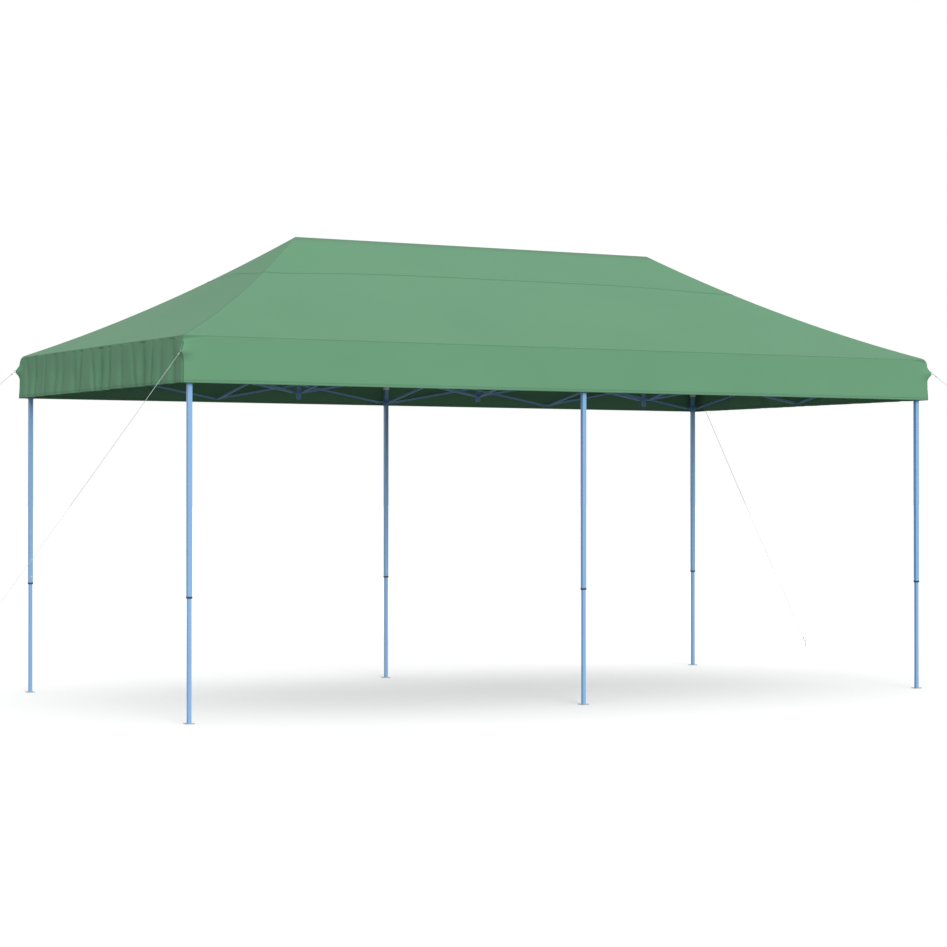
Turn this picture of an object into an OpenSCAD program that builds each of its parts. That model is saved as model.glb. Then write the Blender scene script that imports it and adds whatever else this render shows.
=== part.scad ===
// Pop up gazebo: six telescopic legs, a folding scissor truss on a grid of five by three nodes,
// two ridge posts, one fabric canopy and four guy ropes. Millimetres, +Z up.
// +X runs along the long side, -Y is the front, and the origin is on the ground at the centre.

/* [Footprint] */
// Spacing of the truss nodes along the long side
half_bay_x = 1420; // [1200:10:1720]
// Spacing of the truss nodes along the short side
half_bay_y = 1410; // [1200:10:1720]
// How far the canopy overhangs the leg centres at the short ends
overhang_x = 66; // [50:1:100]
// How far the canopy overhangs the leg centres along the long sides
overhang_y = 53; // [50:1:100]

/* [Heights] */
// Height of the ridge
ridge_z = 3166; // [2850:1:3600]
// Height of the eaves
eave_z = 2368; // [2364:1:2400]
// Depth of the valance that hangs from the eaves
valance_drop = 291; // [150:1:350]
// Height of the upper truss pins
upper_pin_z = 2336; // [2330:1:2340]
// Height of the lower truss pins on the legs' sliders
lower_pin_z = 2100; // [2000:1:2150]
// Height of the lower edge of the brackets at the tops of the legs
bracket_low_z = 2195; // [2180:1:2300]
// Height of the lower end of the outer leg tubes
collar_z = 763; // [600:1:1100]

/* [Legs] */
// Side of the outer leg tube
outer_tube = 28; // [26:0.5:34]
// Wall of the outer leg tube
outer_wall = 1.5; // [1:0.1:2]
// Side of the inner leg tube
inner_tube = 22.5; // [18:0.5:22.5]
// Wall of the inner leg tube
inner_wall = 1.2; // [1:0.1:2]
// Length of inner tube that stays inside the outer tube
leg_overlap = 250; // [150:1:400]
// Height of the guide bush at the lower end of the outer tube
collar_h = 12; // [8:1:60]
// Side of the foot plate
foot_side = 54; // [52:1:100]
// Thickness of the foot plate
foot_t = 4; // [3:0.5:8]
// Diameter of each of the two peg holes in a foot plate
foot_hole_d = 7; // [5:0.5:7]
// Spacing of the two peg holes
foot_hole_gap = 36; // [34:1:38]

/* [Truss] */
// Thickness of a truss bar across the scissor plane
bar_t = 12; // [8:0.5:14]
// Depth of a truss bar in the scissor plane
bar_d = 14; // [12:0.5:18]
// Gap between the two bars of a scissor
bar_gap = 0.6; // [0.4:0.1:1]
// Diameter of the hinge pins
pin_d = 6; // [5:0.5:8]
// Radial clearance of a hinge pin
pin_clear = 0.08; // [0.05:0.01:0.1]
// Reach of a leg's bracket along the long side, from the leg centre to the pin
leg_reach_x = 70; // [45:1:80]
// Reach of a leg's bracket along the short side
leg_reach_y = 40; // [38:1:60]
// Reach of a ridge post's lugs
post_reach = 50; // [38:1:70]
// Thickness of a bracket lug
lug_t = 5; // [3:0.5:8]
// Height of the sliders on the legs
slider_h = 56; // [40:1:70]

/* [Ridge posts] */
// Outer diameter of a ridge post
post_d = 25; // [20:0.5:28]
// Wall of a ridge post
post_wall = 1.5; // [1:0.1:2]
// Diameter of the cap that spreads the ridge
cap_d = 44; // [30:1:60]
// How far the cap's top stays below the ridge
cap_drop = 30; // [26:1:40]

/* [Canopy] */
// Thickness of the canopy cloth with its seams
cloth_t = 3; // [2:0.5:5]
// How far the ridge runs past each post
ridge_past_post = 26; // [24:1:60]
// Height of the corner tabs that hold the guy ropes
tab_z = 2267; // [2200:1:2300]
// How far a corner tab stands out
tab_out = 29; // [10:1:60]

/* [Guy ropes] */
// Diameter of a guy rope
rope_d = 3; // [2:0.5:8]
// Distance of the pegs from the centre along the long side
peg_x = 5200; // [4000:10:6000]
// Distance of the pegs from the centre along the short side
peg_y = 3000; // [2400:10:4000]
// Height of a peg's hook above the ground
peg_h = 55; // [40:1:80]
// Diameter of a peg
peg_d = 8; // [5:0.5:10]

/* [Hidden] */
$fn = 32;

// Colours
steel = [0.50, 0.66, 0.83];
white_plastic = [0.93, 0.94, 0.94];
blue_plastic = [0.44, 0.60, 0.78];
dark_plastic = [0.12, 0.13, 0.14];
zinc = [0.75, 0.76, 0.78];
green = [0.42, 0.62, 0.49];
rope_white = [0.92, 0.93, 0.90];

// Fits
slide_gap = 0.4;       // a moulded slider on its tube, each side
seam_gap = 0.5;        // between neighbouring cloth panels
rest_gap = 0.4;        // between pieces of different bodies that only stand close
lug_round = 8;         // rounding of a lug round its pin
head_t = 2;            // thickness of a pin's head
head_r = 4.8;          // radius of a pin's head
block_w = outer_tube + 6;    // side of the brackets on the legs
slider_w = outer_tube + 6;   // side of the sliders on the legs
post_block_w = post_d + 11;  // side of the upper connectors on the posts
post_shoe_d = post_d + 5;    // diameter of the lower connectors on the posts
hub_w = 24;            // side of the centre hub
hub_reach = hub_w / 2 + bar_d / 2 + 1;  // reach of the centre hub's lugs
bracket_h = 48;        // height of the upper brackets
overlap = 0.5;         // how far welded solids run into each other
shoe_drop = 50;        // from the lower pins to the bottom of a post
knuckle_reach = 40;    // from a crossing row's plane to the pins of a row that ends there
shoe_face = post_shoe_d / 2 - 2;  // where a lug leaves the round lower connector

// Derived places
span_x = half_bay_x - leg_reach_x;
span_y = half_bay_y - leg_reach_y - hub_reach;
span_ridge = half_bay_x - hub_reach - post_reach;
span_end = half_bay_y - leg_reach_y;
span_cross = half_bay_y - post_reach - knuckle_reach;
span_outer = half_bay_x - post_reach - knuckle_reach;
rise = upper_pin_z - lower_pin_z;
eave_x = 2 * half_bay_x + overhang_x;
eave_y = half_bay_y + overhang_y;
ridge_half = half_bay_x + ridge_past_post;
hem_z = eave_z - valance_drop;
bracket_top = upper_pin_z + bracket_h / 2;
inner_top = collar_z + leg_overlap;
tie_z = peg_h - 12;

// Small helpers ----------------------------------------------------------------

// A square tube standing on z0
module square_tube(side, wall, z0, z1) {
    difference() {
        translate([-side / 2, -side / 2, z0]) cube([side, side, z1 - z0]);
        translate([-side / 2 + wall, -side / 2 + wall, z0 - 1])
            cube([side - 2 * wall, side - 2 * wall, z1 - z0 + 2]);
    }
}

// A cylinder along Y, from y0 to y1
module rod_y(r, y0, y1) {
    translate([0, y0, 0]) rotate([-90, 0, 0]) cylinder(r = r, h = y1 - y0);
}

// Puts a piece at a node of the grid and turns +X to the direction of its scissor
module at_node(x, y, turn) { translate([x, y, 0]) rotate([0, 0, turn]) children(); }

// One truss bar in its scissor's plane, between two pins. side is -1 for the falling bar,
// which lies to the right of the plane, and +1 for the rising bar. has_pin puts the middle pin on it.
// end_pins = [start, finish] put a shared pin on those ends.
module bar(span, z_start, z_end, side, has_pin = false, end_pins = [false, false]) {
    length = sqrt(span * span + pow(z_end - z_start, 2));
    pitch = atan2(z_start - z_end, span);
    near = side * bar_gap / 2;
    far = side * (bar_gap / 2 + bar_t);
    reach = -side * (bar_gap / 2 + bar_t + bar_gap + head_t);
    module stub(x) {
        translate([x, 0, 0]) {
            rod_y(pin_d / 2, min(reach, near + side), max(reach, near + side));
            rod_y(head_r, min(reach, reach + side * head_t), max(reach, reach + side * head_t));
        }
    }
    module hole(x) {
        translate([x, 0, 0]) rod_y(pin_d / 2 + pin_clear, min(near, far) - 1, max(near, far) + 1);
    }
    translate([0, 0, z_start]) rotate([0, pitch, 0]) {
        difference() {
            union() {
                translate([0, min(near, far), -bar_d / 2]) cube([length, bar_t, bar_d]);
                rod_y(bar_d / 2, min(near, far), max(near, far));
                translate([length, 0, 0]) rod_y(bar_d / 2, min(near, far), max(near, far));
            }
            if (!end_pins[0]) hole(0);
            if (!end_pins[1]) hole(length);
            if (!has_pin) hole(length / 2);
        }
        if (has_pin) stub(length / 2);
        if (end_pins[0]) stub(0);
        if (end_pins[1]) stub(length);
    }
}

module falling(span, end_pins = [false, false]) {
    bar(span, upper_pin_z, lower_pin_z, -1, false, end_pins);
}
module rising(span, end_pins = [false, false]) {
    bar(span, lower_pin_z, upper_pin_z, 1, true, end_pins);
}

// A lug with its pin, at height z, from a block whose face is at x = face to a pin at x = reach.
// side is the side that the bar lies on, and the lug stands on the other.
module lug(face, reach, z, side) {
    near = -side * bar_gap / 2;
    far = -side * (bar_gap / 2 + lug_t);
    tip = side * (bar_gap / 2 + bar_t + bar_gap + head_t);
    translate([0, 0, z]) {
        translate([face - overlap, min(near, far), -lug_round])
            cube([reach - face + overlap, lug_t, 2 * lug_round]);
        translate([reach, 0, 0]) rod_y(lug_round, min(near, far), max(near, far));
        translate([reach, 0, 0]) rod_y(pin_d / 2, min(far, tip), max(far, tip));
        translate([reach, 0, 0])
            rod_y(head_r, min(tip - side * head_t, tip), max(tip - side * head_t, tip));
    }
}

// A moulded block round a square tube
module sleeve_block(width, bore, z0, z1) {
    difference() {
        translate([-width / 2, -width / 2, z0]) cube([width, width, z1 - z0]);
        translate([-bore / 2, -bore / 2, z0 - 1]) cube([bore, bore, z1 - z0 + 2]);
    }
}

// Centre hub -------------------------------------------------------------------

// turns of the four scissors that meet at the centre hub
hub_turns = [0, 90, 180, 270];

module centre_hub_upper() {
    color(white_plastic) {
        translate([-hub_w / 2, -hub_w / 2, upper_pin_z - bracket_h / 2]) cube([hub_w, hub_w, bracket_h]);
        for (t = hub_turns) rotate([0, 0, t]) lug(hub_w / 2, hub_reach, upper_pin_z, -1);
    }
}

module centre_hub_lower() {
    color(blue_plastic) {
        translate([-hub_w / 2, -hub_w / 2, lower_pin_z - bracket_h / 2 - 16])
            cube([hub_w, hub_w, bracket_h + 16]);
        for (t = hub_turns) rotate([0, 0, t]) lug(hub_w / 2, hub_reach, lower_pin_z, 1);
    }
}

module mid_bar_falling(s) { color(steel) at_node(0, s * hub_reach, s * 90) falling(span_y); }
module mid_bar_rising(s) { color(steel) at_node(0, s * hub_reach, s * 90) rising(span_y); }

// Ridge row --------------------------------------------------------------------

// turn of a scissor that runs outwards along X on side s
function turn_x(s) = s > 0 ? 0 : 180;

module ridge_bar_falling(s) {
    color(steel) at_node(s * hub_reach, 0, turn_x(s)) falling(span_ridge);
}
module ridge_bar_rising(s) {
    color(steel) at_node(s * hub_reach, 0, turn_x(s)) rising(span_ridge);
}

// The post stands on the lower connector and slides through the upper one
module ridge_post(s) {
    top = ridge_z - cap_drop;
    at_node(s * half_bay_x, 0, turn_x(s)) {
        color(steel) difference() {
            translate([0, 0, lower_pin_z - shoe_drop + 4])
                cylinder(d = post_d, h = top - 10 - lower_pin_z + shoe_drop - 4);
            translate([0, 0, lower_pin_z - shoe_drop])
                cylinder(d = post_d - 2 * post_wall, h = top - 12 - lower_pin_z + shoe_drop);
        }
        color(dark_plastic) translate([0, 0, top - 12]) cylinder(d = cap_d, h = 12);
        color(blue_plastic) {
            difference() {
                translate([0, 0, lower_pin_z - shoe_drop]) cylinder(d = post_shoe_d, h = shoe_drop + 20);
                translate([0, 0, lower_pin_z - shoe_drop + 4])
                    cylinder(d = post_d - post_wall, h = shoe_drop + 20);
            }
            for (t = [0:90:270]) rotate([0, 0, t]) lug(shoe_face, post_reach, lower_pin_z, 1);
        }
    }
}

module ridge_bracket(s) {
    color(white_plastic) at_node(s * half_bay_x, 0, turn_x(s)) {
        difference() {
            translate([-post_block_w / 2, -post_block_w / 2, upper_pin_z - bracket_h / 2])
                cube([post_block_w, post_block_w, bracket_h]);
            translate([0, 0, upper_pin_z - bracket_h / 2 - 1])
                cylinder(d = post_d + 2 * slide_gap, h = bracket_h + 2);
        }
        for (t = [0:90:270]) rotate([0, 0, t]) lug(post_block_w / 2, post_reach, upper_pin_z, -1);
    }
}

// Eave rows --------------------------------------------------------------------

// x of the pin where a bay of an eave row starts, measured outwards
function bay_start(bay) = bay == "inner" ? leg_reach_x : half_bay_x;

module eave_bar_falling(s, r, bay) {
    color(steel) at_node(s * bay_start(bay), r * half_bay_y, turn_x(s))
        falling(span_x, [false, bay == "inner"]);
}
module eave_bar_rising(s, r, bay) {
    color(steel) at_node(s * bay_start(bay), r * half_bay_y, turn_x(s))
        rising(span_x, [false, bay == "inner"]);
}

// Legs -------------------------------------------------------------------------

// The lugs of a leg's bracket or slider at height z. A middle leg holds two bars along X and a
// corner leg one, and each holds one along Y. The bar lies on side -1 of an upper bracket's lug,
// seen from the leg, and on side +1 of a slider's.
module leg_lugs(s, r, width, z, upper) {
    first = upper ? -1 : 1;
    if (s == 0) {
        for (t = [0, 180]) rotate([0, 0, t]) lug(width / 2, leg_reach_x, z, first);
        rotate([0, 0, -r * 90]) lug(width / 2, leg_reach_y, z, first);
    } else {
        rotate([0, 0, s > 0 ? 180 : 0]) lug(width / 2, leg_reach_x, z, first);
        rotate([0, 0, -r * 90]) lug(width / 2, leg_reach_y, z, first);
    }
}

module leg_upper(s, r) {
    at_node(s * 2 * half_bay_x, r * half_bay_y, 0) {
        color(steel) square_tube(outer_tube, outer_wall, collar_z + 3, bracket_top - 4);
        color(white_plastic) {
            sleeve_block(block_w, outer_tube - outer_wall, bracket_low_z, bracket_top - 4);
            translate([-block_w / 2, -block_w / 2, bracket_top - 4]) cube([block_w, block_w, 4]);
            leg_lugs(s, r, block_w, upper_pin_z, true);
        }
        color(dark_plastic) {
            sleeve_block(outer_tube + 2, inner_tube + 2 * slide_gap, collar_z, collar_z + 4);
            sleeve_block(outer_tube + 2, outer_tube - outer_wall, collar_z + 3, collar_z + collar_h);
        }
    }
}

module leg_lower(s, r) {
    at_node(s * 2 * half_bay_x, r * half_bay_y, 0) {
        color(steel) square_tube(inner_tube, inner_wall, foot_t - overlap, inner_top);
        color(zinc) difference() {
            translate([-foot_side / 2, -foot_side / 2, 0]) cube([foot_side, foot_side, foot_t]);
            for (x = [-1, 1]) translate([x * foot_hole_gap / 2, foot_hole_gap / 2, -1])
                cylinder(d = foot_hole_d, h = foot_t + 2);
        }
    }
}

module leg_slider(s, r) {
    color(blue_plastic) at_node(s * 2 * half_bay_x, r * half_bay_y, 0) {
        sleeve_block(slider_w, outer_tube + 2 * slide_gap, lower_pin_z - slider_h / 2,
                     lower_pin_z + slider_h / 2);
        leg_lugs(s, r, slider_w, lower_pin_z, false);
    }
}

// Trusses that close the loops ---------------------------------------------------

// A scissor pair as one group: both bars of one bay
module scissor(span, end_pins = [false, false]) {
    falling(span, [false, end_pins[0]]);
    rising(span, [false, end_pins[1]]);
}

// The row along Y over a short end: two scissors that meet at its middle
module end_truss(s) {
    color(steel) for (r = [-1, 1])
        at_node(s * 2 * half_bay_x, r * (half_bay_y - leg_reach_y), -r * 90)
            scissor(span_end, r > 0 ? [true, true] : [false, false]);
}

// The row along Y through a ridge post, in two halves
module cross_truss(s) {
    for (r = [-1, 1]) at_node(s * half_bay_x, r * post_reach, r * 90) {
        color(steel) scissor(span_cross);
        color(white_plastic) knuckle_tee(span_cross);
    }
}

// The row from a ridge post out to the end truss
module outer_ridge_truss(s) {
    at_node(s * (half_bay_x + post_reach), 0, turn_x(s)) {
        color(steel) scissor(span_outer);
        color(white_plastic) knuckle_tee(span_outer);
    }
}

// The tongues that hold a row's outer end beside a knuckle of the crossing row
module knuckle_tee(span) {
    stand_off = bar_gap / 2 + bar_t + bar_gap + head_t + overlap + rest_gap;
    face = span + knuckle_reach - stand_off;
    translate([face, 0, 0]) rotate([0, 0, 180]) {
        lug(0, knuckle_reach - stand_off, upper_pin_z, -1);
        lug(0, knuckle_reach - stand_off, lower_pin_z, 1);
        translate([0, -hub_w / 2, lower_pin_z - lug_round]) cube([3, hub_w, 2 * lug_round]);
        translate([0, -hub_w / 2, upper_pin_z - lug_round]) cube([3, hub_w, 2 * lug_round]);
    }
}

// Canopy -------------------------------------------------------------------------

// Moves a panel's corners towards its middle, which leaves room for the seam
function middle(p) = [for (k = [0:2]) [for (q = p) q[k]] * [for (q = p) 1 / len(p)]];
function towards(a, b, d) = a + (b - a) * d / norm(b - a);
function inset(p) = [for (q = p) towards(q, middle(p), seam_gap)];

// A flat panel with its thickness hanging down
module panel(outline) {
    p = inset(outline);
    k = len(p);
    lower = [for (q = p) q - [0, 0, cloth_t]];
    polyhedron(
        points = concat(p, lower),
        faces = concat(
            [[for (i = [0:k - 1]) i]],
            [[for (i = [0:k - 1]) 2 * k - 1 - i]],
            [for (i = [0:k - 1]) [(i + 1) % k, i, i + k, (i + 1) % k + k]]
        )
    );
}

module valance(length, offset_y, turn) {
    rotate([0, 0, turn]) translate([-length / 2 + cloth_t + seam_gap, offset_y - cloth_t, hem_z])
        cube([length - 2 * cloth_t - 2 * seam_gap, cloth_t, valance_drop - cloth_t - seam_gap]);
}

module corner_tab(s, r) {
    translate([s * (eave_x + 2), r * (eave_y + 2), tab_z])
        rotate([0, 0, atan2(r, s)])
            rotate([90, 0, 0]) linear_extrude(height = cloth_t, center = true)
                polygon([[0, 45], [tab_out, 3], [tab_out, -3], [0, -45]]);
}

module canopy() {
    color(green) {
        for (r = [-1, 1]) {
            side = [
                [-eave_x, r * eave_y, eave_z], [eave_x, r * eave_y, eave_z],
                [ridge_half, 0, ridge_z], [-ridge_half, 0, ridge_z]
            ];
            panel(r > 0 ? side : [side[3], side[2], side[1], side[0]]);
            end = [[r * eave_x, -eave_y, eave_z], [r * eave_x, eave_y, eave_z], [r * ridge_half, 0, ridge_z]];
            panel(r < 0 ? end : [end[2], end[1], end[0]]);
        }
        for (t = [0, 180]) valance(2 * eave_x, eave_y, t);
        for (t = [90, 270]) valance(2 * eave_y, eave_x, t);
        for (s = [-1, 1], r = [-1, 1]) corner_tab(s, r);
    }
}

// Guy ropes and pegs ---------------------------------------------------------------

// A rope runs straight from its tab to its peg
rope_rings = 16;
rope_sides = 8;
tab_reach = 2 + (tab_out + rope_d / 2 + 1) / sqrt(2);
function rope_start(s, r) = [s * (eave_x + tab_reach), r * (eave_y + tab_reach), tab_z];
function rope_end(s, r) = [s * (peg_x - peg_d), r * (peg_y - peg_d), tie_z];

module guy_rope(s, r) {
    a = rope_start(s, r);
    b = rope_end(s, r);
    along = (b - a) / norm(b - a);
    across = [along[1], -along[0], 0] / norm([along[1], -along[0]]);
    up = cross(along, across);
    points = [for (i = [0:rope_rings - 1], k = [0:rope_sides - 1])
        a + (b - a) * i / (rope_rings - 1)
        + rope_d / 2 * (across * cos(k * 360 / rope_sides) + up * sin(k * 360 / rope_sides))];
    last = (rope_rings - 1) * rope_sides;
    color(rope_white) polyhedron(
        points = points,
        faces = concat(
            [[for (k = [0:rope_sides - 1]) k]],
            [[for (k = [0:rope_sides - 1]) last + rope_sides - 1 - k]],
            [for (i = [0:rope_rings - 2], k = [0:rope_sides - 1]) [
                i * rope_sides + k, (i + 1) * rope_sides + k,
                (i + 1) * rope_sides + (k + 1) % rope_sides, i * rope_sides + (k + 1) % rope_sides]]
        )
    );
}

module ground_pegs() {
    color(zinc) for (s = [-1, 1], r = [-1, 1]) translate([s * peg_x, r * peg_y, 0]) {
        cylinder(d = peg_d, h = peg_h);
        translate([0, 0, peg_h - peg_d]) rotate([0, 90, atan2(r, s)]) cylinder(d = peg_d - 1, h = 26);
    }
}

centre_hub_upper();
centre_hub_lower();
mid_bar_falling(-1);  // mid_bar_front_falling
mid_bar_rising(-1);  // mid_bar_front_rising
mid_bar_falling(1);  // mid_bar_back_falling
mid_bar_rising(1);  // mid_bar_back_rising
ridge_bar_falling(-1);  // ridge_bar_left_falling
ridge_bar_rising(-1);  // ridge_bar_left_rising
ridge_bar_falling(1);  // ridge_bar_right_falling
ridge_bar_rising(1);  // ridge_bar_right_rising
ridge_post(-1);  // ridge_post_left
ridge_bracket(-1);  // ridge_bracket_left
ridge_post(1);  // ridge_post_right
ridge_bracket(1);  // ridge_bracket_right
eave_bar_falling(-1, -1, "inner");  // eave_bar_front_left_inner_falling
eave_bar_rising(-1, -1, "inner");  // eave_bar_front_left_inner_rising
eave_bar_falling(-1, -1, "outer");  // eave_bar_front_left_outer_falling
eave_bar_rising(-1, -1, "outer");  // eave_bar_front_left_outer_rising
eave_bar_falling(1, -1, "inner");  // eave_bar_front_right_inner_falling
eave_bar_rising(1, -1, "inner");  // eave_bar_front_right_inner_rising
eave_bar_falling(1, -1, "outer");  // eave_bar_front_right_outer_falling
eave_bar_rising(1, -1, "outer");  // eave_bar_front_right_outer_rising
eave_bar_falling(-1, 1, "inner");  // eave_bar_back_left_inner_falling
eave_bar_rising(-1, 1, "inner");  // eave_bar_back_left_inner_rising
eave_bar_falling(-1, 1, "outer");  // eave_bar_back_left_outer_falling
eave_bar_rising(-1, 1, "outer");  // eave_bar_back_left_outer_rising
eave_bar_falling(1, 1, "inner");  // eave_bar_back_right_inner_falling
eave_bar_rising(1, 1, "inner");  // eave_bar_back_right_inner_rising
eave_bar_falling(1, 1, "outer");  // eave_bar_back_right_outer_falling
eave_bar_rising(1, 1, "outer");  // eave_bar_back_right_outer_rising
leg_upper(-1, -1);  // leg_upper_front_left
leg_upper(0, -1);  // leg_upper_front_middle
leg_upper(1, -1);  // leg_upper_front_right
leg_upper(-1, 1);  // leg_upper_back_left
leg_upper(0, 1);  // leg_upper_back_middle
leg_upper(1, 1);  // leg_upper_back_right
leg_lower(-1, -1);  // leg_lower_front_left
leg_lower(0, -1);  // leg_lower_front_middle
leg_lower(1, -1);  // leg_lower_front_right
leg_lower(-1, 1);  // leg_lower_back_left
leg_lower(0, 1);  // leg_lower_back_middle
leg_lower(1, 1);  // leg_lower_back_right
leg_slider(-1, -1);  // leg_slider_front_left
leg_slider(0, -1);  // leg_slider_front_middle
leg_slider(1, -1);  // leg_slider_front_right
leg_slider(-1, 1);  // leg_slider_back_left
leg_slider(0, 1);  // leg_slider_back_middle
leg_slider(1, 1);  // leg_slider_back_right
end_truss(-1);  // end_truss_left
cross_truss(-1);  // cross_truss_left
outer_ridge_truss(-1);  // outer_ridge_truss_left
end_truss(1);  // end_truss_right
cross_truss(1);  // cross_truss_right
outer_ridge_truss(1);  // outer_ridge_truss_right
canopy();
guy_rope(-1, -1);  // guy_rope_front_left
guy_rope(1, -1);  // guy_rope_front_right
guy_rope(-1, 1);  // guy_rope_back_left
guy_rope(1, 1);  // guy_rope_back_right
ground_pegs();
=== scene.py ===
# %% [markdown]
# # A pop up gazebo
# The frame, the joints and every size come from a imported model. This lesson gives it its looks: a
# sewn polyester canopy, braided guy ropes, powder coated tube and moulded nylon connectors.

# %% Load the frame
import math
import random
import bmesh
import bpy
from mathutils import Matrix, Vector, noise


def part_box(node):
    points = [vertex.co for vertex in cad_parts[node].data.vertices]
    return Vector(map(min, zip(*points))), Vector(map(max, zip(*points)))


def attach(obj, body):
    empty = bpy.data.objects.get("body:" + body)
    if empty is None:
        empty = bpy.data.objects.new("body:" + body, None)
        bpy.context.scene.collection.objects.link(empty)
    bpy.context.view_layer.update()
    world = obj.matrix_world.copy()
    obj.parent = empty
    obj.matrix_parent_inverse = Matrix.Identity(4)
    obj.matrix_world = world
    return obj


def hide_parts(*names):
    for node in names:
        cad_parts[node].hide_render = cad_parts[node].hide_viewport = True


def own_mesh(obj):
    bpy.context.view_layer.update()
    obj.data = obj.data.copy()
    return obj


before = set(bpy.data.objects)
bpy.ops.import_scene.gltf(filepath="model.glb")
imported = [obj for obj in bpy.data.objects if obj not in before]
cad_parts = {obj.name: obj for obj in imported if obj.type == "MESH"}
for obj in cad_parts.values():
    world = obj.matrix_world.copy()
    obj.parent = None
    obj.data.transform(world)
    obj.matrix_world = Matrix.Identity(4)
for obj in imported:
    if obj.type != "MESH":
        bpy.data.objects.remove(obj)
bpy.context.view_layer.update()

ROWS = {"front": -1, "back": 1}
SIDES = {"left": -1, "middle": 0, "right": 1}
ENDS = {"left": -1, "right": 1}

# %% [markdown]
# ## Camera
# The gazebo is seen from about 18 m away, at eye height, with a long lens. A long lens keeps the
# six legs nearly parallel, so the camera looks almost level and its place matters more than its tilt.

# %% Camera
EYE = (-8.925, -15.538, 1.400)
YAW = math.radians(29.77)
PITCH = math.radians(0.47)
bpy.ops.object.camera_add(location=EYE, rotation=(math.pi / 2 + PITCH, 0, -YAW))
camera = bpy.context.object
camera.data.lens = 95.3
camera.data.sensor_width = 36
camera.data.clip_end = 600
bpy.context.scene.camera = camera
print("camera", EYE, "lens", camera.data.lens, "mm")

# %% [markdown]
# ## Helpers for materials
# Colours are written as the hex values a painter would pick, and one function turns them linear,
# which is what the shaders need. Another adds any node with its settings and links.

# %% Material helpers
def linear(hex_code):
    parts = [int(hex_code[i:i + 2], 16) / 255 for i in (1, 3, 5)]
    curve = [c / 12.92 if c <= 0.04045 else ((c + 0.055) / 1.055) ** 2.4 for c in parts]
    return (*curve, 1.0)


def add_node(tree, kind, settings=None, links=None):
    new = tree.nodes.new(kind)
    for key, value in (settings or {}).items():
        if isinstance(key, int) or key in new.inputs:
            new.inputs[key].default_value = value
        else:
            setattr(new, key, value)
    for key, source in (links or {}).items():
        tree.links.new(source, new.inputs[key])
    return new


def new_material(name):
    material = bpy.data.materials.new(name)
    material.use_nodes = True
    shader = material.node_tree.nodes["Principled BSDF"]
    return material, material.node_tree, shader


def mottled(tree, shader, where, dark, light, scale):
    """A base colour that drifts slowly between two close tones."""
    cloud = add_node(tree, "ShaderNodeTexNoise", {"Scale": scale, "Detail": 3.0}, {"Vector": where})
    tone = add_node(tree, "ShaderNodeMix", {"data_type": "RGBA", 6: linear(dark), 7: linear(light)},
                    {0: cloud.outputs[0]})
    tree.links.new(tone.outputs[2], shader.inputs["Base Color"])
    return tone


def grain(tree, shader, where, scale, depth, strength):
    """Fine relief: depth in metres, scale in grains a metre."""
    speck = add_node(tree, "ShaderNodeTexNoise", {"Scale": scale, "Detail": 2.0}, {"Vector": where})
    bump = add_node(tree, "ShaderNodeBump", {"Strength": strength, "Distance": depth},
                    {"Height": speck.outputs[0]})
    tree.links.new(bump.outputs[0], shader.inputs["Normal"])
    return speck


# %% [markdown]
# ## Powder coated steel
# The tubes are steel, sprayed with powder and baked. That leaves an even colour, a soft gloss and a
# faint orange peel of about 1 mm. The peel is drawn at 2.5 mm, because 1 mm is too fine to show.

# %% Powder coated steel
def powder_coat(name, dark, light):
    material, tree, shader = new_material(name)
    where = add_node(tree, "ShaderNodeTexCoord").outputs["Object"]
    mottled(tree, shader, where, dark, light, 2.0)
    peel = grain(tree, shader, where, 400, 0.0002, 0.25)
    gloss = add_node(tree, "ShaderNodeMapRange", {"To Min": 0.32, "To Max": 0.46}, {0: peel.outputs[0]})
    tree.links.new(gloss.outputs[0], shader.inputs["Roughness"])
    shader.inputs["Coat Weight"].default_value = 0.15
    shader.inputs["Coat Roughness"].default_value = 0.3
    return material


BLUE_COAT = powder_coat("powder_coated_steel_blue", "#6690B9", "#6E98C1")

# %% [markdown]
# ## Moulded nylon and zinc plate
# Connectors are moulded nylon with a spark-eroded grain, so their shine is broad and weak. Pegs and
# foot plates are zinc plated steel: a metal, with fine streaks from rolling.

# %% Nylon and zinc
def moulded(name, dark, light, roughness):
    material, tree, shader = new_material(name)
    where = add_node(tree, "ShaderNodeTexCoord").outputs["Object"]
    mottled(tree, shader, where, dark, light, 12.0)
    grain(tree, shader, where, 900, 0.0001, 0.3)
    shader.inputs["Roughness"].default_value = roughness
    return material


def zinc_plate():
    material, tree, shader = new_material("zinc_plated_steel")
    where = add_node(tree, "ShaderNodeTexCoord").outputs["Object"]
    mottled(tree, shader, where, "#9A9EA2", "#C2C5C7", 35.0)
    grain(tree, shader, where, 700, 0.0001, 0.2)
    shader.inputs["Metallic"].default_value = 1.0
    shader.inputs["Roughness"].default_value = 0.42
    return material


BLUE_NYLON = moulded("moulded_nylon_blue", "#5A84B2", "#628CB9", 0.5)
WHITE_NYLON = moulded("moulded_nylon_white", "#D2D5D6", "#E2E4E4", 0.5)
BLACK_NYLON = moulded("moulded_nylon_black", "#1D1F22", "#2A2D31", 0.55)
ZINC = zinc_plate()
print("materials so far", [m.name for m in bpy.data.materials if m.users])

# %% [markdown]
# ## Canopy cloth
# Coated polyester: a plain weave with a matt, slightly silky face. Real threads are 0.4 mm apart,
# and the weave is drawn at 5 mm so that it can show at all. The pattern reads the canopy's own UV
# map, in metres along and down the cloth, and an attribute named seam marks the sewn lines.

# %% Canopy cloth material
WAVE_PITCH = 0.314         # a wave texture's bands are this far apart at scale 1, in metres
WEAVE = WAVE_PITCH / 0.005
STITCH = WAVE_PITCH / 0.012


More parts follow.
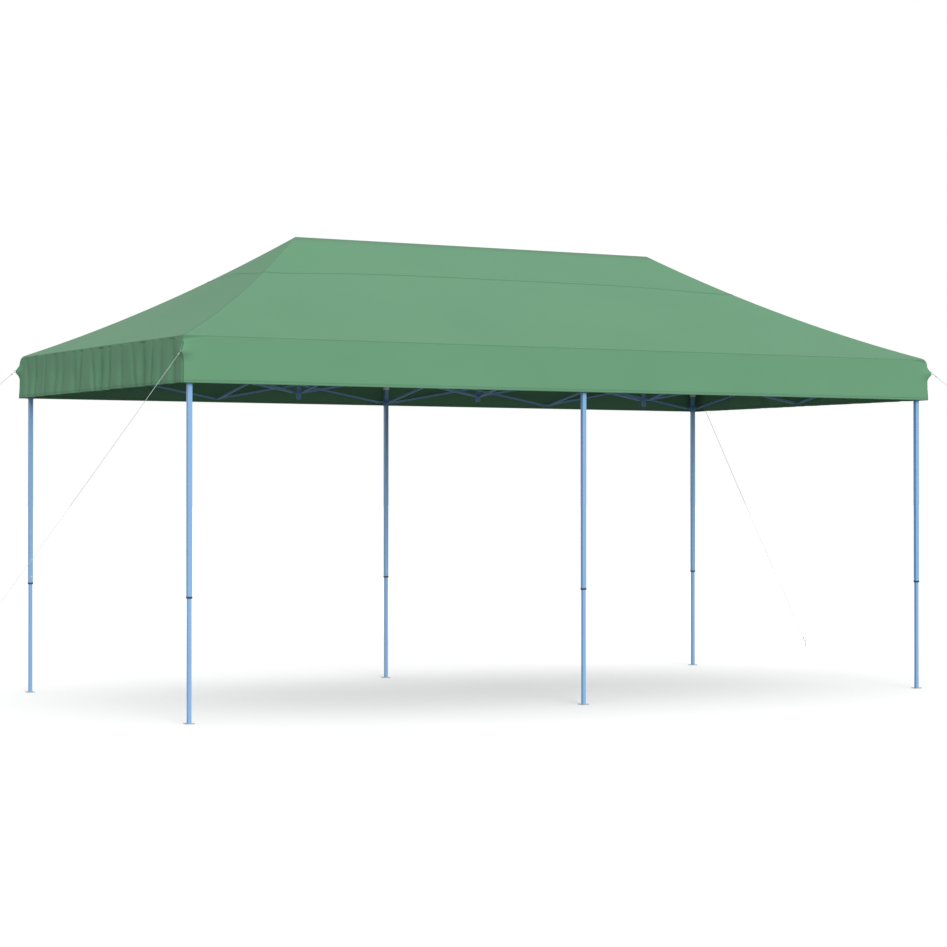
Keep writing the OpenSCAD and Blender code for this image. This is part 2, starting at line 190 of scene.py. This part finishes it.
def polyester(name, dark, light, seam_colour):
    material, tree, shader = new_material(name)
    uv = add_node(tree, "ShaderNodeUVMap", {"uv_map": "cloth"}).outputs[0]
    where = add_node(tree, "ShaderNodeTexCoord").outputs["Object"]
    tone = mottled(tree, shader, where, dark, light, 1.3)
    seam = add_node(tree, "ShaderNodeAttribute", {"attribute_name": "seam"})
    stitch = add_node(tree, "ShaderNodeTexWave", {"Scale": STITCH, "bands_direction": "X"},
                      {"Vector": uv})
    dashes = add_node(tree, "ShaderNodeMath", {"operation": "MULTIPLY_ADD", 1: 0.35, 2: 0.65},
                      {0: stitch.outputs[1]})
    sewn = add_node(tree, "ShaderNodeMath", {"operation": "MULTIPLY"},
                    {0: seam.outputs["Fac"], 1: dashes.outputs[0]})
    both = add_node(tree, "ShaderNodeMix", {"data_type": "RGBA", 7: linear(seam_colour)},
                    {0: sewn.outputs[0], 6: tone.outputs[2]})
    tree.links.new(both.outputs[2], shader.inputs["Base Color"])
    warp = add_node(tree, "ShaderNodeTexWave", {"Scale": WEAVE, "bands_direction": "X"}, {"Vector": uv})
    weft = add_node(tree, "ShaderNodeTexWave", {"Scale": WEAVE, "bands_direction": "Y"}, {"Vector": uv})
    weave = add_node(tree, "ShaderNodeMath", {"operation": "MAXIMUM"},
                     {0: warp.outputs[1], 1: weft.outputs[1]})
    slub = add_node(tree, "ShaderNodeTexNoise", {"Scale": 9.0, "Detail": 4.0}, {"Vector": uv})
    height = add_node(tree, "ShaderNodeMath", {"operation": "MULTIPLY_ADD", 1: 0.4},
                      {0: weave.outputs[0], 2: slub.outputs[0]})
    bump = add_node(tree, "ShaderNodeBump", {"Strength": 0.12, "Distance": 0.0006},
                    {"Height": height.outputs[0]})
    tree.links.new(bump.outputs[0], shader.inputs["Normal"])
    shader.inputs["Roughness"].default_value = 0.85
    shader.inputs["Specular IOR Level"].default_value = 0.18
    shader.inputs["Sheen Weight"].default_value = 0.02
    shader.inputs["Sheen Roughness"].default_value = 0.5
    return material


CLOTH = polyester("coated_polyester_green", "#537E61", "#598466", "#36563D")

# %% [markdown]
# ## Helpers for meshes
# A mesh made from lists of points needs the same few steps each time: make the object, give it its
# material and its body. New primitives start with everything deselected.

# %% Mesh helpers
def settle(piece, body, material):
    if material:
        piece.data.materials.clear()
        piece.data.materials.append(material)
    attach(piece, body)
    return piece


def select_only(piece):
    bpy.ops.object.select_all(action="DESELECT")
    piece.select_set(True)
    bpy.context.view_layer.objects.active = piece


def apply_modifiers(piece):
    select_only(piece)
    for modifier in list(piece.modifiers):
        bpy.ops.object.modifier_apply(modifier=modifier.name)


def tube(name, points, radius, sides=10):
    """A closed tube along points, with a UV map: u in turns round it, v in metres along it."""
    mesh = bpy.data.meshes.new(name)
    bm = bmesh.new()
    uv = bm.loops.layers.uv.new("cloth")
    rings, run = [], [0.0]
    for i, p in enumerate(points):
        ahead = (points[min(i + 1, len(points) - 1)] - points[max(i - 1, 0)]).normalized()
        across = ahead.cross(Vector((0, 0, 1))).normalized()
        up = across.cross(ahead)
        if i:
            run.append(run[-1] + (p - points[i - 1]).length)
        angles = [2 * math.pi * k / sides for k in range(sides)]
        rings.append([bm.verts.new(p + radius * (across * math.cos(a) + up * math.sin(a))) for a in angles])
    for i in range(len(rings) - 1):
        for k in range(sides):
            m = (k + 1) % sides
            face = bm.faces.new((rings[i][k], rings[i][m], rings[i + 1][m], rings[i + 1][k]))
            face.smooth = True
            places = ((k, i), (k + 1, i), (k + 1, i + 1), (k, i + 1))
            for loop, (turn, row) in zip(face.loops, places):
                loop[uv].uv = (turn / sides, run[row])
    bm.faces.new(rings[0])
    bm.faces.new(rings[-1])
    bmesh.ops.recalc_face_normals(bm, faces=bm.faces)
    bm.to_mesh(mesh)
    bm.free()
    piece = bpy.data.objects.new(name, mesh)
    bpy.context.scene.collection.objects.link(piece)
    return piece


# %% [markdown]
# ## Guy ropes
# Each rope is a 3 mm braided cord from a corner tab to a peg. It is pulled tight, so it only dips by
# about ten millimetres. A hitch of a few turns holds it at both ends, and a ring joins it to the tab.

# %% Rope material
def braid(name, dark, light):
    material, tree, shader = new_material(name)
    uv = add_node(tree, "ShaderNodeUVMap", {"uv_map": "cloth"}).outputs[0]
    turned = add_node(tree, "ShaderNodeMapping", {"Scale": (2.0, 60.0, 1.0), "Rotation": (0, 0, 0.6)},
                      {"Vector": uv})
    strands = add_node(tree, "ShaderNodeTexWave", {"Scale": 1.5, "Distortion": 0.6},
                       {"Vector": turned.outputs[0]})
    tone = add_node(tree, "ShaderNodeMix", {"data_type": "RGBA", 6: linear(dark), 7: linear(light)},
                    {0: strands.outputs[1]})
    tree.links.new(tone.outputs[2], shader.inputs["Base Color"])
    bump = add_node(tree, "ShaderNodeBump", {"Strength": 0.5, "Distance": 0.0005},
                    {"Height": strands.outputs[1]})
    tree.links.new(bump.outputs[0], shader.inputs["Normal"])
    shader.inputs["Roughness"].default_value = 0.75
    return material


ROPE = braid("braided_polyester_grey", "#8F9992", "#A9B2AC")

# %% [markdown]
# ## Where the canopy and the ropes are
# The canopy's own box gives its eaves, ridge and hem, so the new cloth lands where the old solid was.
# The ropes start at the tips of the corner tabs and end at the pegs.

# %% Sizes of the canopy and the ropes
canopy_low, canopy_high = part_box("canopy")
TAB_STANDS = 0.02357       # how far a corner tab stands out from the eave, along X and Y
EAVE_X = canopy_high.x - TAB_STANDS
EAVE_Y = canopy_high.y - TAB_STANDS
RIDGE_Z = canopy_high.z
HEM_Z = canopy_low.z
VALANCE_DROP = 0.291
EAVE_Z = HEM_Z + VALANCE_DROP
RIDGE_HALF = 1.446         # half the length of the ridge
TAB_Z = 2.267              # height of the corner tabs' tips
ROPE_D = 0.003
TIP_OUT = 0.0243           # where a rope's ring sits, out from the eave along X and Y
ROPE_START = (EAVE_X + TIP_OUT, EAVE_Y + TIP_OUT, TAB_Z)
ROPE_END = (5.192, 2.992, 0.043)
ROPE_DIP = 0.010
print("eave", round(EAVE_X, 4), round(EAVE_Y, 4), "heights", round(EAVE_Z, 3), round(RIDGE_Z, 3))


def rope_points(side, row, count=24):
    start = Vector((side * ROPE_START[0], row * ROPE_START[1], ROPE_START[2]))
    end = Vector((side * ROPE_END[0], row * ROPE_END[1], ROPE_END[2]))
    points = []
    for i in range(count):
        t = i / (count - 1)
        points.append(start.lerp(end, t) - Vector((0, 0, ROPE_DIP * 4 * t * (1 - t))))
    return points


def hitch(name, centre, along, turns):
    """Rope turns side by side round a line, joined to one piece."""
    rings = []
    lean = along.to_track_quat("Z", "Y").to_euler()
    for i in range(turns):
        spot = centre + along * (ROPE_D * (i - (turns - 1) / 2))
        bpy.ops.mesh.primitive_torus_add(
            location=spot, rotation=lean, major_radius=ROPE_D, minor_radius=ROPE_D / 2,
            major_segments=20, minor_segments=8)
        rings.append(bpy.context.object)
    bpy.ops.object.select_all(action="DESELECT")
    for ring in rings:
        ring.select_set(True)
    bpy.context.view_layer.objects.active = rings[0]
    bpy.ops.object.join()
    bpy.ops.object.transform_apply(location=True, rotation=True, scale=True)
    piece = bpy.context.object
    piece.name = name
    piece.data.uv_layers[0].name = "cloth"
    bpy.ops.object.shade_smooth()
    return settle(piece, "canopy", ROPE)


def eyelet(name, centre, along):
    """The wire ring that joins a rope to its tab."""
    lean = along.cross(Vector((0, 0, 1))).to_track_quat("Z", "Y").to_euler()
    bpy.ops.mesh.primitive_torus_add(location=centre, rotation=lean, major_radius=0.007,
                                     minor_radius=0.0014, major_segments=32, minor_segments=10)
    piece = bpy.context.object
    piece.name = name
    bpy.ops.object.transform_apply(location=True, rotation=True, scale=True)
    bpy.ops.object.shade_smooth()
    return settle(piece, "canopy", ZINC)


# %% [markdown]
# ## Laying the ropes
# The four corners are alike, so one loop lays all four, and each rope is a tube along its own line of
# points.

# %% Ropes
for row_name, row in ROWS.items():
    for side_name, side in ENDS.items():
        where = f"{row_name}_{side_name}"
        points = rope_points(side, row)
        rope = settle(tube(f"rope_{where}", points, ROPE_D / 2), "canopy", ROPE)
        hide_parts(f"guy_rope_{where}")
        along = (points[-1] - points[0]).normalized()
        top = hitch(f"rope_hitch_top_{where}", points[0] + along * 0.03, along, 4)
        low = hitch(f"rope_hitch_low_{where}", points[-1] - along * 0.05, along, 5)
        ring = eyelet(f"tab_ring_{where}", points[0] - along * 0.003, along)

# %% [markdown]
# ## Canopy
# The canopy is one sewn sheet: a hipped roof that turns over the eaves into a straight valance. It
# could be draped by simulation, but a canopy held by six legs and two posts is pulled tight, and its
# shape is known. So it is lofted in columns: each column runs from the ridge, over the eave, to the
# hem. The short ends have the slack, and their valances hang in narrow creases.

# %% Columns round the canopy
CORNER = 0.012             # radius of the canopy's corners in plan


def columns():
    """Points round the eaves: place and outward direction, the run along the eave to each, and the length
    all round.
    """
    found = []

    def straight(a, b, out, step):
        count = max(2, round((b - a).length / step))
        for i in range(count):
            found.append((a.lerp(b, i / count), out))

    def arc(centre, start):
        for i in range(10):
            angle = math.radians(start + 90 * i / 10)
            out = Vector((math.cos(angle), math.sin(angle)))
            found.append((centre + out * CORNER, out))

    x, y, r, near = EAVE_X, EAVE_Y, CORNER, 0.12
    walls = [
        (Vector((-x + r, -y)), Vector((x - r, -y)), Vector((0, -1)), 0.05, Vector((x - r, -y + r)), 270),
        (Vector((x, -y + r)), Vector((x, y - r)), Vector((1, 0)), 0.015, Vector((x - r, y - r)), 0),
        (Vector((x - r, y)), Vector((-x + r, y)), Vector((0, 1)), 0.05, Vector((-x + r, y - r)), 90),
        (Vector((-x, y - r)), Vector((-x, -y + r)), Vector((-1, 0)), 0.015, Vector((-x + r, -y + r)), 180),
    ]
    for a, b, out, step, centre, start in walls:
        way = (b - a).normalized()
        straight(a, a + way * near, out, 0.012)
        straight(a + way * near, b - way * near, out, step)
        straight(b - way * near, b, out, 0.012)
        arc(centre, start)
    runs = [0.0]
    for (p, _), (q, _) in zip(found, found[1:]):
        runs.append(runs[-1] + (q - p).length)
    around = runs[-1] + (found[0][0] - found[-1][0]).length
    return found, runs, around


# %% [markdown]
# ## Creases
# Cloth with slack in it hangs in narrow creases of uneven width, depth and lean. They could be
# simulated, but chance with a fixed seed gives the same creases each run. Each crease is a smooth
# dent across the valance. The long sides are pulled tight, so they only have faint waves.

# %% Creases of the valances
random.seed(11)


def crease_set(half, count, depth, width):
    """Creases across a wall from -half to half: place, depth, width, lean and start."""
    made = []
    for i in range(count):
        place = -half + 2 * half * (i + 0.5 + random.uniform(-0.28, 0.28)) / count
        made.append((place, random.uniform(0.35, 1) * depth, random.uniform(0.6, 1.5) * width,
                     random.uniform(-0.22, 0.22), random.uniform(0.0, 0.3)))
    return made


END_CREASES = {side: crease_set(EAVE_Y - 0.08, 16, 0.032, 0.028) for side in (-1, 1)}
LONG_WAVES = {row: crease_set(EAVE_X - 0.2, 9, 0.004, 0.16) for row in (-1, 1)}
LONG_PUCKERS = {row: crease_set(EAVE_X - 0.1, 34, 0.0022, 0.02) for row in (-1, 1)}


def dent(creases, place, down, drop, top_only=False):
    total = 0.0
    for spot, depth, width, lean, start in creases:
        off = (place - spot - lean * drop * down) / width
        if abs(off) < 3:
            if top_only:
                ramp = max(0.0, 1 - down / 0.3)
            else:
                ramp = min(1.0, 0.25 + max(0.0, down - start * 0.5) * 1.6)
            total += depth * ramp * math.exp(-off * off)
    return total


def valance_relief(point, out, down, drop):
    """How far the valance stands out from its plane at a place, in metres."""
    if abs(out.x) > 0.9:
        folds = dent(END_CREASES[1 if out.x > 0 else -1], point.y, down, drop)
        swell = 0.009 * noise.noise(Vector((point.y * 4.3, out.x * 5, down * 1.3)))
        return 0.006 * down - folds + swell * min(1.0, 0.3 + down)
    if abs(out.y) > 0.9:
        row = 1 if out.y > 0 else -1
        waves = dent(LONG_WAVES[row], point.x, down, drop)
        puckers = dent(LONG_PUCKERS[row], point.x, down, drop, True)
        hem = 0.0016 * noise.noise(Vector((point.x * 9, row, 0))) * down ** 3
        return 0.002 * down - waves - puckers + hem
    return 0.002 * down


# %% [markdown]
# ## The sheet itself
# Each roof panel sags a little between its ends, and most along the hips, where only the cloth's own
# tension holds it up. The roof turns over the eave in a small bend, and a stitched line marks the hem.

# %% Canopy sheet
SEAM_T = 0.31              # where the seam parallel to the ridge runs, as a share of the slope
ROOF_SAG, HIP_SAG = 0.026, 0.056
HIP_REACH = 0.9            # how far along the eaves the deeper sag of the hips fades out
TAB_PULL = 0.037           # how far a rope draws the corner out, along the diagonal
TURN_T = 0.975             # where the roof starts to turn down over the eave, as a share of the slope
CLOTH_WALL = 0.0016
SLOPE = math.hypot(EAVE_Y, RIDGE_Z - EAVE_Z)


def roof_rows():
    seam = [SEAM_T - 0.006, SEAM_T - 0.002, SEAM_T + 0.002, SEAM_T + 0.006]
    plain = [i / 22 for i in range(23)]
    return sorted([t for t in plain if abs(t - SEAM_T) > 0.012 and t < 0.98] + seam + [TURN_T])


def column_points(point, out, corner, away):
    """A column from ridge to hem: points, distance down the cloth, and seam strength."""
    span = EAVE_X - CORNER
    top = Vector((RIDGE_HALF * max(-1, min(1, point.x / span)), 0, RIDGE_Z))
    eave = Vector((point.x, point.y, EAVE_Z))
    bend = 0.012 + 0.038 * corner
    sag = ROOF_SAG + (HIP_SAG - ROOF_SAG) * math.exp(-(away / HIP_REACH) ** 2)
    made = []
    slope = eave - top
    last = 1 - bend / slope.length
    for t in roof_rows():
        p = top + slope * (t * last / TURN_T)
        p.z -= sag * 4 * t * (1 - t)
        on_seam = abs(t - SEAM_T) < 0.003
        p.z += 0.0015 if on_seam else 0.0
        mark = 0.55 if on_seam else 0.0
        made.append((p, t * SLOPE, max(mark, 0.5 if corner > 0.98 else 0.0)))
    start = made[-1][0]
    finish = eave - Vector((0, 0, bend))
    for u in (0.2, 0.4, 0.6, 0.8):
        p = start * (1 - u) ** 2 + eave * 2 * u * (1 - u) + finish * u * u
        made.append((p, SLOPE * (TURN_T + (1 - TURN_T) * u), 0.6 if 0.3 < u < 0.7 else 0.0))
    drop = finish.z - HEM_Z
    diagonal = Vector((math.copysign(1, point.x), math.copysign(1, point.y), 0)).normalized()
    steps = [0, 0.03, 0.06] + [0.06 + 0.86 * i / 14 for i in range(1, 15)] + [0.94, 0.97, 1.0]
    for v in steps:
        p = finish - Vector((0, 0, drop * v))
        p += Vector((out.x, out.y, 0)) * valance_relief(point, out, v, drop)
        away = abs(p.z - TAB_Z) / 0.048
        if corner > 0 and away < 1:
            p += diagonal * TAB_PULL * (1 - away) ** 1.3 * math.exp(-((1 - corner) / 0.30) ** 2)
        mark = 0.5 if abs(v - 0.94) < 0.005 else 0.0
        made.append((p, SLOPE + drop * v, max(mark, 0.75 if corner > 0.98 else 0.0)))
    return made


def canopy_sheet():
    ring, runs, around = columns()
    corners = [Vector((s * EAVE_X, r * EAVE_Y)) for s in (-1, 1) for r in (-1, 1)]
    reach = 0.15
    nearest = min(min((p - c).length for p, _ in ring) for c in corners)
    bm = bmesh.new()
    uv = bm.loops.layers.uv.new("cloth")
    seam = bm.verts.layers.float.new("seam")
    grid, downs = [], []
    for point, out in ring:
        away = min((point - c).length for c in corners) - nearest
        rows = column_points(point, out, max(0.0, 1 - away / reach), away)
        line = []
        for place, _, mark in rows:
            vert = bm.verts.new(place)
            vert[seam] = mark
            line.append(vert)
        grid.append(line)
        downs.append([d for _, d, _ in rows])
    count, rows = len(grid), len(grid[0])
    for i in range(count):
        k = (i + 1) % count
        run = (runs[i], runs[k] if k else around)
        for j in range(rows - 1):
            face = bm.faces.new((grid[i][j], grid[i][j + 1], grid[k][j + 1], grid[k][j]))
            face.smooth = True
            places = ((run[0], downs[i][j]), (run[0], downs[i][j + 1]),
                      (run[1], downs[k][j + 1]), (run[1], downs[k][j]))
            for loop, spot in zip(face.loops, places):
                loop[uv].uv = spot
    bmesh.ops.remove_doubles(bm, verts=bm.verts, dist=0.0002)
    bmesh.ops.recalc_face_normals(bm, faces=bm.faces)
    mesh = bpy.data.meshes.new("canopy_sheet")
    bm.to_mesh(mesh)
    bm.free()
    piece = bpy.data.objects.new("canopy_sheet", mesh)
    bpy.context.scene.collection.objects.link(piece)
    return piece


sheet = canopy_sheet()
if sum(p.normal.z for p in sheet.data.polygons) < 0:
    sheet.data.flip_normals()
wall = sheet.modifiers.new("cloth_thickness", "SOLIDIFY")
wall.thickness = CLOTH_WALL
wall.offset = -1
apply_modifiers(sheet)
settle(sheet, "canopy", CLOTH)
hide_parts("canopy")
print("canopy faces", len(sheet.data.polygons), "box", [round(v, 3) for v in sheet.dimensions])

# %% [markdown]
# ## Steel and nylon on the frame's own nodes
# A leg's node holds three things: the coated tube, the thin black bush at its lower end and the
# white bracket at its top. Its faces are given their finish by their height.

# %% Finishes of the CAD nodes
def finish_node(name, finishes):
    """finishes: (material, test on a face's middle), the first that holds wins."""
    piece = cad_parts[name]
    piece.data.materials.clear()
    for material, _ in finishes:
        piece.data.materials.append(material)
    for face in piece.data.polygons:
        for index, (_, holds) in enumerate(finishes):
            if holds(face.center):
                face.material_index = index
                break


def always(_):
    return True


BUSH_TOP = 0.775           # heights at which one finish gives way to the next
BRACKET_LOW = 2.195
FOOT_TOP = 0.0042
LOWER_CONNECTOR_TOP = 2.1205
POST_CAP_LOW = RIDGE_Z - 0.0425
SLACK = 0.001

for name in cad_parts:
    if name.startswith("leg_upper"):
        finish_node(name, [(BLACK_NYLON, lambda p: p.z < BUSH_TOP + SLACK),
                           (WHITE_NYLON, lambda p: p.z > BRACKET_LOW - SLACK), (BLUE_COAT, always)])
    elif name.startswith("leg_lower"):
        finish_node(name, [(ZINC, lambda p: p.z < FOOT_TOP), (BLUE_COAT, always)])
    elif name.startswith("ridge_post"):
        finish_node(name, [(BLUE_NYLON, lambda p: p.z < LOWER_CONNECTOR_TOP),
                           (BLACK_NYLON, lambda p: p.z > POST_CAP_LOW), (BLUE_COAT, always)])
    elif name.startswith(("leg_slider", "centre_hub_lower")):
        finish_node(name, [(BLUE_NYLON, always)])
    elif name.startswith(("centre_hub_upper", "ridge_bracket")):
        finish_node(name, [(WHITE_NYLON, always)])
    elif name == "ground_pegs":
        finish_node(name, [(ZINC, always)])
    else:
        finish_node(name, [(BLUE_COAT, always)])

# %% [markdown]
# ## The bars that close the loops
# Twenty bars only close loops in the truss. When the frame folds they swing upright like the rest; here
# each group is copied from its node and rides on one piece of the frame.


def copy_of(node, name):
    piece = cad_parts[node].copy()
    piece.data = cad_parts[node].data.copy()
    for key in list(piece.keys()):
        if key.startswith("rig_"):
            del piece[key]
    piece.name = name
    bpy.context.scene.collection.objects.link(piece)
    select_only(piece)
    bpy.ops.object.mode_set(mode="EDIT")
    bpy.ops.mesh.select_all(action="SELECT")
    bpy.ops.mesh.remove_doubles(threshold=0.00002)
    bpy.ops.object.mode_set(mode="OBJECT")
    bpy.ops.object.shade_smooth_by_angle(angle=math.radians(35))
    return piece


def closing_truss(node, body):
    piece = copy_of(node, f"{node}_bars")
    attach(piece, body)
    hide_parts(node)
    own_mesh(piece)


HALF_BAY_X, LEG_Y = 1.42, 1.41
for side_name, side in ENDS.items():
    closing_truss(f"end_truss_{side_name}", f"leg_upper_back_{side_name}")
    closing_truss(f"cross_truss_{side_name}", f"ridge_bracket_{side_name}")
    closing_truss(f"outer_ridge_truss_{side_name}", f"ridge_bracket_{side_name}")

# %% [markdown]
# ## Buttons
# Each slider has a lock button of nylon that clicks into its leg. Each leg has a sprung steel button
# that holds the inner tube. Both are short drums with a rounded rim and a dished face.

# %% Buttons
def button(name, body, centre, out, radius, height, material):
    lean = out.to_track_quat("Z", "Y").to_euler()
    bpy.ops.mesh.primitive_cylinder_add(vertices=32, radius=radius, depth=height, location=centre,
                                        rotation=lean)
    piece = bpy.context.object
    piece.name = name
    bpy.ops.object.mode_set(mode="EDIT")
    bpy.ops.mesh.select_all(action="DESELECT")
    bpy.ops.object.mode_set(mode="OBJECT")
    for face in piece.data.polygons:
        face.select = face.normal.z > 0.9
    bpy.ops.object.mode_set(mode="EDIT")
    bpy.ops.mesh.select_mode(type="FACE")
    bpy.ops.mesh.inset(thickness=radius * 0.3, depth=0)
    bpy.ops.mesh.inset(thickness=radius * 0.2, depth=-height * 0.15)
    bpy.ops.object.mode_set(mode="OBJECT")
    bpy.ops.object.transform_apply(location=True, rotation=True, scale=True)
    bevel = piece.modifiers.new("rim", "BEVEL")
    bevel.width = height * 0.12
    bevel.segments = 2
    apply_modifiers(piece)
    bpy.ops.object.shade_smooth_by_angle(angle=math.radians(35))
    return settle(piece, body, material)


SLIDER_HALF, TUBE_HALF = 0.017, 0.014
SLIDER_BUTTON_Z, SNAP_BUTTON_Z = 2.088, 0.820
for row_name, row in ROWS.items():
    for side_name, side in SIDES.items():
        where = f"{row_name}_{side_name}"
        out = Vector((0, row, 0))
        leg = Vector((side * 2 * HALF_BAY_X, row * LEG_Y, 0))
        button(f"slider_button_{where}", f"leg_slider_{where}",
               leg + out * (SLIDER_HALF + 0.003) + Vector((0, 0, SLIDER_BUTTON_Z)), out, 0.009, 0.008,
               BLUE_NYLON)
        button(f"snap_button_{where}", f"leg_upper_{where}",
               leg - out * (TUBE_HALF + 0.001) + Vector((0, 0, SNAP_BUTTON_Z)), -out, 0.005, 0.005,
               ZINC)

# %% [markdown]
# ## Floor and light
# The gazebo stands on a plain pale floor in an even white surround. A low, wide, soft light from the
# front left lights the long valance fully, the short end a little less, and the roof most, together
# with the sky. Light comes from above and from the sides only: the floor is kept out of the bounced
# light, so that the roof's underside stays in shade.

# %% Floor
bpy.ops.mesh.primitive_plane_add(size=500, location=(0, 0, -0.001))
floor = bpy.context.object
floor.name = "floor"
floor_material, _, floor_shader = new_material("pale_floor")
floor_shader.inputs["Base Color"].default_value = linear("#FBFBFB")
floor_shader.inputs["Roughness"].default_value = 1.0
floor_shader.inputs["Specular IOR Level"].default_value = 0.0
floor.data.materials.append(floor_material)
floor.visible_diffuse = False
floor.visible_glossy = False

# %% [markdown]
# ## Sky
# An even white sky acts as a very large soft light. Below the horizon it is dimmed, as the ground
# under a canopy would be, so that the underside reads darker than the roof.

# %% Sky
UNDER_LIGHT = 0.24
world = bpy.data.worlds.new("studio")
bpy.context.scene.world = world
world.use_nodes = True
sky = world.node_tree
direction = add_node(sky, "ShaderNodeTexCoord").outputs["Generated"]
height = add_node(sky, "ShaderNodeSeparateXYZ", links={0: direction}).outputs["Z"]
above = add_node(sky, "ShaderNodeMapRange", {"From Min": -0.30, "From Max": -0.06,
                                             "To Min": UNDER_LIGHT, "To Max": 1.0}, {0: height})
sky.links.new(above.outputs[0], sky.nodes["Background"].inputs["Strength"])
sky.nodes["Background"].inputs["Color"].default_value = (1, 1, 1, 1)

# %% [markdown]
# ## Key light
# A sun as wide as 30 degrees is soft enough to leave no hard edge, and still tells one side of a
# fold or a tube from the other.

# %% Key light
KEY_RISE, KEY_TURN, KEY_POWER = 15, 10, 2.8
bpy.ops.object.light_add(type="SUN", rotation=(math.radians(90 - KEY_RISE), 0, -math.radians(KEY_TURN)))
key = bpy.context.object
key.data.energy = KEY_POWER
key.data.angle = math.radians(30)
bpy.context.scene.view_settings.view_transform = "Standard"
